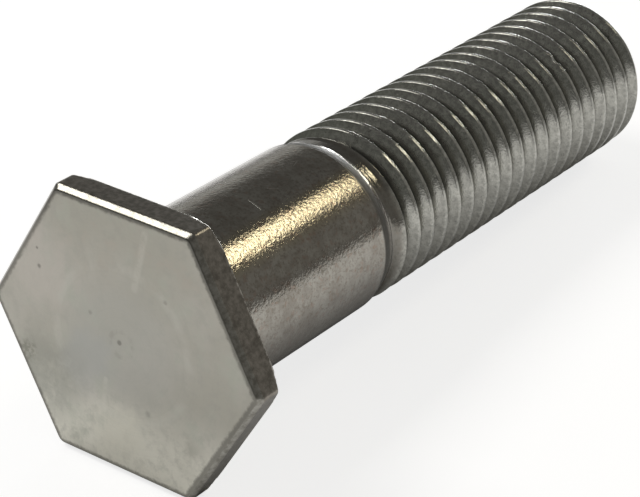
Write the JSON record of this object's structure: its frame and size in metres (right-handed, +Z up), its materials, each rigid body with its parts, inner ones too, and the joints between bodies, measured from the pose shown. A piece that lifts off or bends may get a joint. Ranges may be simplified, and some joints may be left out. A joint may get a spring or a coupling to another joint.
{
  "type": "beam bolt",
  "caption": "Thin-headed hex bolt with a plain shank, a short neck and a right-hand coarse thread, lying on a flat of its head.",
  "frame": {"origin": "on the surface that the bolt lies on, under the middle of its bounding box", "axes": "+X from the head towards the point, +Z up; the bolt's own axis leans 3.64 degrees down towards the point, because it lies on one flat of the head and on the last whole crest of the thread"},
  "size_m": [0.0838, 0.0328, 0.0287],
  "materials": {
    "steel": "bright as machined, turned head face, thread rolled"
  },
  "bodies": {
    "root": {"bolt": "steel"}
  },
  "joints": []
}
